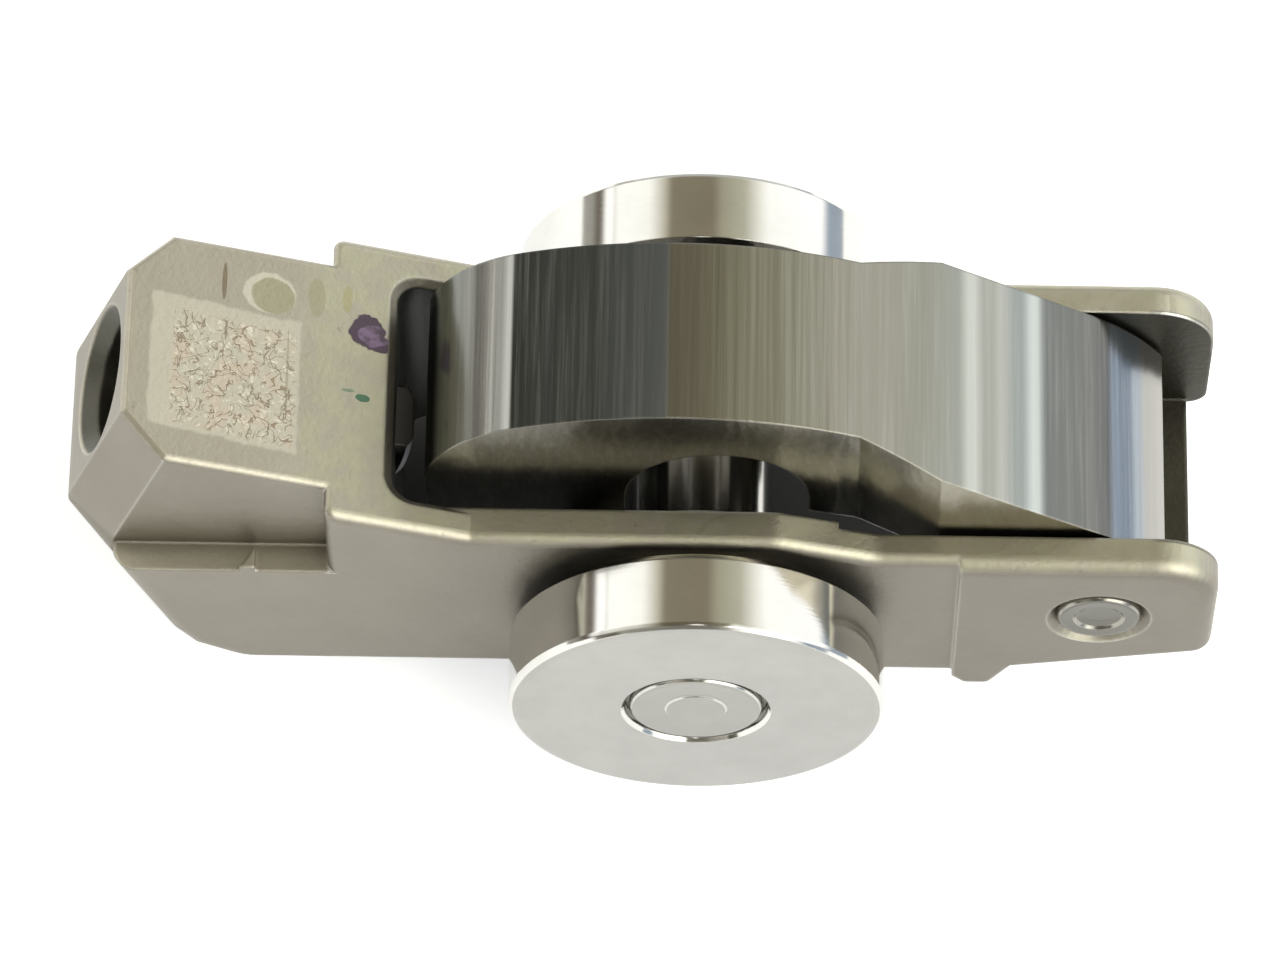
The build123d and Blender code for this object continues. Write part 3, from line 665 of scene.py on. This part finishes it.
def turned_material(name, color, roughness, face_roughness, face_shade, spin=AXLE_LINE):
    """Turned steel: ground rims, and faces with fine rings round the turning axis."""
    made, graph, shader = material(name)
    x, y, z = arm_place(graph)
    facing = graph.step(graph.size(smooth_normal(graph)[1]), *TURNED_FACE)
    from_spin = graph.squares(graph.minus(x, spin[0]), graph.minus(z, spin[1]))
    radius = graph.math("SQRT", from_spin)
    rings = graph.noise(graph.join(radius, 0.0, 0.0), scale=3.5, detail=4, roughness=0.7)
    rim_lines = graph.noise(graph.join(y, 0.0, 0.0), scale=5.0, detail=4, roughness=0.7)
    lines = graph.blend(facing, rim_lines, rings)
    cloud = graph.noise(graph.join(x, y, z), scale=0.35, detail=4, roughness=0.6)
    dull = rgb(*(0.88 * part for part in color))
    line_tone = rgb(*(0.7 * part for part in color))
    shade = graph.mix(graph.step(cloud, 0.1, 0.75), dull, rgb(*color))
    shade = graph.mix(graph.times(lines, 0.16), shade, line_tone)
    shade = graph.mix(facing, shade, grey(face_shade), "MULTIPLY")
    graph.put(shader.inputs["Base Color"], shade)
    rough = graph.blend(facing, roughness, face_roughness)
    rough = graph.plus(rough, graph.times(graph.minus(lines, 0.5), 0.10))
    graph.put(shader.inputs["Roughness"], rough)
    rounded = rounded_normal(graph, SMALL_EDGE)
    graph.put(shader.inputs["Normal"], graph.bump(lines, TURNED_BUMP_METRES, 0.6, rounded))
    return made


PLAIN_EDGE_TONE = rgb(0.75, 0.74, 0.7)
PLAIN_BUMP_METRES = 0.00001


def plain_steel(name, color, roughness):
    """Bought-in or turned small steel parts, with a slight mottle."""
    made, graph, shader = material(name)
    place = graph.join(*arm_place(graph))
    cloud = graph.noise(place, scale=0.8, detail=4, roughness=0.6)
    grain = graph.noise(place, scale=6.0, detail=3, roughness=0.6)
    dull = rgb(*(0.75 * part for part in color))
    shade = graph.mix(cloud, dull, rgb(*color))
    rounded = rounded_normal(graph, SMALL_EDGE)
    edge = edge_mask(graph, rounded)
    shade = graph.mix(graph.times(edge, 0.4), shade, PLAIN_EDGE_TONE)
    graph.put(shader.inputs["Base Color"], shade)
    graph.put(shader.inputs["Roughness"], graph.blend(grain, roughness - 0.05, roughness + 0.08))
    graph.put(shader.inputs["Normal"], graph.bump(grain, PLAIN_BUMP_METRES, 0.5, rounded))
    return made


def dress(node, made):
    """Gives a kept CAD node its material."""
    thing = frame["nodes"][node]
    thing.data.materials.clear()
    thing.data.materials.append(made)


BODY_STEEL = body_material()
SLIDER_STEEL = slider_material()
ROLLER_STEEL = turned_material("roller_steel", (0.74, 0.73, 0.70), 0.10, 0.34, 0.60)
AXLE_STEEL = turned_material("pin_steel", (0.62, 0.61, 0.58), 0.16, 0.30, 0.60)
PIN_STEEL = turned_material("hinge_pin_steel", (0.36, 0.35, 0.315), 0.2, 0.26, 0.50, HINGE_LINE)
BEARING_STEEL = plain_steel("bearing_steel", (0.62, 0.62, 0.60), 0.2)
# Latch steel painted near black as painted shade, since the latch pin and plug sit in the dark
# bore.
LATCH_SHADED_STEEL = plain_steel("latch_steel", (0.13, 0.13, 0.135), 0.3)
SPRING_STEEL = plain_steel("spring_steel", (0.26, 0.25, 0.24), 0.3)

dress("outer_arm", BODY_STEEL)
dress("slider_arm", SLIDER_STEEL)
dress("latch_pin", LATCH_SHADED_STEEL)
dress("latch_plug", LATCH_SHADED_STEEL)
for node in frame["nodes"]:
    if "needle" in node or "bearing" in node:
        dress(node, BEARING_STEEL)


# ---- turned pieces, smoother than the CAD's facets ----------------------------------------
SEGMENTS = 160
# Less than an outline's slightest corner, and more than the turn from segment to segment.
SHARP_OVER = radians(5)


def lathe(name, profile, middle, body, node, made):
    """Closed turned piece from a (radius, y) outline, whose corners all stay sharp."""
    points = []
    rings = []
    for radius, y in profile:
        turns = SEGMENTS if radius > 0 else 1
        rings.append((len(points), turns))
        for step in range(turns):
            angle = 2 * pi * step / SEGMENTS
            x = middle[0] + radius * cos(angle)
            z = middle[1] + radius * sin(angle)
            points.append(arm(x, y, z))
    if profile[0][0] > 0:
        rings.append(rings[0])
    faces = []
    for (first, turns), (second, other_turns) in zip(rings, rings[1:]):
        for step in range(SEGMENTS):
            after = (step + 1) % SEGMENTS
            corners = [first + step % turns, second + step % other_turns]
            corners += [second + after % other_turns, first + after % turns]
            faces.append(list(dict.fromkeys(corners)))
    mesh = bpy.data.meshes.new(name)
    mesh.from_pydata(points, [], faces)
    mesh.polygons.foreach_set("use_smooth", [True] * len(faces))
    mesh.set_sharp_from_angle(angle=SHARP_OVER)
    mesh.materials.append(made)
    thing = add_object(name, mesh)
    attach(thing, body)
    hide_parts(node)


def mirrored(profile):
    """The outline on the +Y side, run the other way."""
    return [(radius, -y) for radius, y in reversed(profile)]


# Outlines of the -Y side as (radius, y).
ROLLER_IN = 8.65
ROLLER_OUT = 13.0
ROLLER = [
    (3.62, -ROLLER_IN),
    (9.05, -ROLLER_IN),
    (9.5, -ROLLER_IN - 0.45),
    (9.5, -ROLLER_OUT + 0.42),
    (9.44, -ROLLER_OUT + 0.24),
    (9.28, -ROLLER_OUT + 0.08),
    (9.06, -ROLLER_OUT),
    (3.80, -ROLLER_OUT),
    (3.62, -ROLLER_OUT + 0.20),
]
AXLE_END = [
    (3.6, -12.30),
    (3.36, -12.42),
    (3.33, -12.82),
    (3.24, -12.93),
    (3.08, -12.955),
    (1.58, -12.90),
    (1.48, -12.98),
    (1.38, -13.00),
    (0.0, -13.00),
]
PIN_END = [
    (1.9, -7.55),
    (2.12, -7.78),
    (2.10, -8.14),
    (2.00, -8.26),
    (1.86, -8.29),
    (1.32, -8.26),
    (1.16, -8.10),
    (0.88, -8.00),
    (0.0, -7.98),
]
WHOLE_AXLE = mirrored(AXLE_END) + AXLE_END
WHOLE_PIN = mirrored(PIN_END) + PIN_END
TURNED = [
    ("right_roller", ROLLER, AXLE_LINE, "spool", ROLLER_STEEL, "roller_steel"),
    ("left_roller", mirrored(ROLLER), AXLE_LINE, "spool", ROLLER_STEEL, "roller_steel"),
    ("roller_axle", WHOLE_AXLE, AXLE_LINE, "spool", AXLE_STEEL, "pin_steel"),
    ("pivot_pin", WHOLE_PIN, HINGE_LINE, "body", PIN_STEEL, "pin_steel"),
]
for node, profile, middle, body, made, slot in TURNED:
    lathe(node + "_turned", profile, middle, body, node, made)


def coil_copy(node, name):
    """Copy of a spring's CAD mesh, with the spring material, standing in for the hidden CAD
    node.
    """
    mesh = frame["nodes"][node].data.copy()
    mesh.name = name
    mesh.materials.clear()
    mesh.materials.append(SPRING_STEEL)
    spring = add_object(name, mesh)
    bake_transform(spring)
    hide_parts(node)


coil_copy(
    "lost_motion_spring",
    "torsion_spring",
)
coil_copy(
    "latch_spring",
    "latch_return_spring",
)


# ---- floor -------------------------------------------------------------------------
# The glow keeps the lit floor white. It stops in the arm's footprint, where no light from above
# would reach, and the floor there is painted dark as a painted shadow.
FLOOR_GLOW = 0.62
GLOW_TONE = rgb(0.97, 0.98, 1.0)
FLOOR_TONE = rgb(0.84, 0.85, 0.86)
FOOTPRINT_SHADOW_TONE = grey(0.10)
# Low end, high end and softness.
FOOTPRINT_X = (-20.0, 20.0, 4.0)
FOOTPRINT_Y = (-0.5, 13.0, 2.5)
# In metres: half the floor's width, and how far it lies below the arm.
FLOOR_HALF = 1.5
FLOOR_DROP = 0.00002


def floor_material():
    """White floor that keeps the object's shadow, with a painted shadow under the arm, and reads
    as white behind it.
    """
    made = bpy.data.materials.new("floor_white")
    made.use_nodes = True
    made.node_tree.nodes.clear()
    graph = Graph(made.node_tree)
    rays = graph.node("ShaderNodeLightPath").outputs
    seen = graph.larger(rays["Is Camera Ray"], rays["Is Glossy Ray"])
    seen = graph.larger(seen, rays["Is Transmission Ray"])
    x, y, _ = arm_place(graph)
    painted_shadow = graph.times(graph.between(x, *FOOTPRINT_X), graph.between(y, *FOOTPRINT_Y))
    strength = graph.times(seen, graph.inverse(painted_shadow), FLOOR_GLOW)
    glow = graph.node("ShaderNodeEmission", {"Color": GLOW_TONE, "Strength": strength})
    # Painted shadow: the floor's colour darkened in the arm's footprint.
    shade = graph.mix(painted_shadow, FLOOR_TONE, FOOTPRINT_SHADOW_TONE)
    paint = graph.node("ShaderNodeBsdfDiffuse", {"Color": shade})
    both = graph.node("ShaderNodeAddShader")
    graph.put(both.inputs[0], glow.outputs[0])
    graph.put(both.inputs[1], paint.outputs[0])
    out = graph.node("ShaderNodeOutputMaterial")
    graph.put(out.inputs["Surface"], both.outputs[0])
    return made


def floor():
    low = cad_box[0][2] - FLOOR_DROP
    signs = ((-1, -1), (1, -1), (1, 1), (-1, 1))
    corners = [(FLOOR_HALF * across, FLOOR_HALF * along, low) for across, along in signs]
    mesh = bpy.data.meshes.new("floor")
    mesh.from_pydata(corners, [], [(0, 1, 2, 3)])
    mesh.materials.append(floor_material())
    made = add_object("floor", mesh)


# ---- world ---------------------------------------------------------------------------
# Angles are degrees round the arm's cross axis: 0 is straight up, positive towards the
# valve end. The studio is two soft boxes with a gap between them overhead.
STUDIO = [
    (-180, (0.60, 0.60, 0.60)),
    (-88, (0.50, 0.50, 0.46)),
    (-74, (0.44, 0.43, 0.38)),
    (-70, (0.16, 0.13, 0.10)),
    (-66.5, (0.20, 0.18, 0.15)),
    (-64, (1.55, 1.55, 1.50)),
    (-58.5, (1.60, 1.60, 1.56)),
    (-57.5, (0.85, 0.85, 0.80)),
    (-56, (1.50, 1.50, 1.45)),
    (-34, (1.40, 1.40, 1.32)),
    (-24, (0.70, 0.66, 0.54)),
    (-20, (0.30, 0.27, 0.19)),
    (6, (0.29, 0.255, 0.18)),
    (12, (0.48, 0.46, 0.34)),
    (26, (0.62, 0.61, 0.48)),
    (36, (1.15, 1.15, 1.05)),
    (42, (1.45, 1.45, 1.40)),
    (80, (1.55, 1.55, 1.55)),
    (86, (0.42, 0.50, 0.60)),
    (104, (0.50, 0.56, 0.62)),
    (112, (0.66, 0.66, 0.62)),
    (180, (0.60, 0.60, 0.60)),
]
# Sideways parts of a direction are from -1, the viewer's side, to 1.
END_WALLS = (0.72, 0.93)
END_WALL_TONE = rgb(0.62, 0.62, 0.60)
NEAR_SIDE = (0.05, -0.30)
NEAR_SIDE_TONE = rgb(0.42, 0.41, 0.37)
NEAR_SIDE_ENDS = (30, 34)
# Patches of light: angles, sideways parts and brightness, and the softness of their edges.
LAMPS = [
    ((20, 75), (-0.86, -0.20), rgb(3.4, 3.35, 3.1)),
    ((-4, 4), (-0.64, -0.28), rgb(3.0, 2.95, 2.75)),
]
LAMP_EDGE_ROUND = 0.006
LAMP_EDGE_SIDEWAYS = 0.04


def turn(degrees):
    """Place on the studio's ramp, which runs from 0 to 1 over the whole turn."""
    return (degrees + 180) / 360


def world():
    made = bpy.data.worlds.new("studio")
    bpy.context.scene.world = made
    made.use_nodes = True
    graph = Graph(made.node_tree)
    toward = graph.node("ShaderNodeTexCoord").outputs["Generated"]
    forward, sideways, up = arm_parts(graph, toward)
    angle = graph.math("ARCTAN2", forward, up)
    place = graph.plus(graph.math("DIVIDE", angle, 2 * pi), 0.5)
    color = graph.ramp(place, [(turn(degrees), rgb(*tone)) for degrees, tone in STUDIO])
    end_walls = graph.step(graph.size(sideways), *END_WALLS)
    color = graph.mix(end_walls, color, END_WALL_TONE)
    dimmed = graph.inverse(graph.step(place, *map(turn, NEAR_SIDE_ENDS)))
    near_side = graph.times(graph.step(sideways, *NEAR_SIDE), dimmed)
    color = graph.mix(near_side, color, NEAR_SIDE_TONE, "MULTIPLY")
    for angles, sideways_parts, glow in LAMPS:
        lamp = graph.times(
            graph.between(place, *map(turn, angles), LAMP_EDGE_ROUND),
            graph.between(sideways, *sideways_parts, LAMP_EDGE_SIDEWAYS),
        )
        color = graph.mix(lamp, color, glow)
    rays = graph.node("ShaderNodeLightPath").outputs
    color = graph.mix(rays["Is Camera Ray"], color, grey(1.0))
    background = made.node_tree.nodes["Background"]
    graph.put(background.inputs["Color"], color)
    graph.put(background.inputs["Strength"], 1.0)


# ---- camera --------------------------------------------------------------------------
CAMERA_UP = radians(63.03)
CAMERA_YAW = radians(-0.97)
CAMERA_DISTANCE = 380.0
CAMERA_SIDE = 3.04
CAMERA_RISE = 0.07
CAMERA_FOCAL_PIXELS = 7412.0
PHOTO_WIDTH_PIXELS = 1280
SENSOR = 36.0
CLIP_METRES = (0.01, 10)


def camera():
    """Camera of the photograph, set out in the arm frame."""
    look = Vector(
        (sin(CAMERA_YAW) * cos(CAMERA_UP), cos(CAMERA_YAW) * cos(CAMERA_UP), -sin(CAMERA_UP))
    )
    right = Vector((cos(CAMERA_YAW), -sin(CAMERA_YAW), 0))
    up = right.cross(look)
    place = -CAMERA_DISTANCE * look - CAMERA_SIDE * right + CAMERA_RISE * up
    to_packed = Matrix((ARM_X, ARM_Y, ARM_Z)).transposed()
    data = bpy.data.cameras.new("camera")
    data.sensor_width = SENSOR
    data.lens = CAMERA_FOCAL_PIXELS / PHOTO_WIDTH_PIXELS * SENSOR
    data.clip_start, data.clip_end = CLIP_METRES
    made = add_object("camera", data)
    axes = Matrix((to_packed @ right, to_packed @ up, to_packed @ -look)).transposed().to_4x4()
    axes.translation = arm(*place)
    made.matrix_world = axes
    bpy.context.scene.camera = made


floor()
world()
camera()
bpy.context.scene.view_settings.view_transform = "Standard"
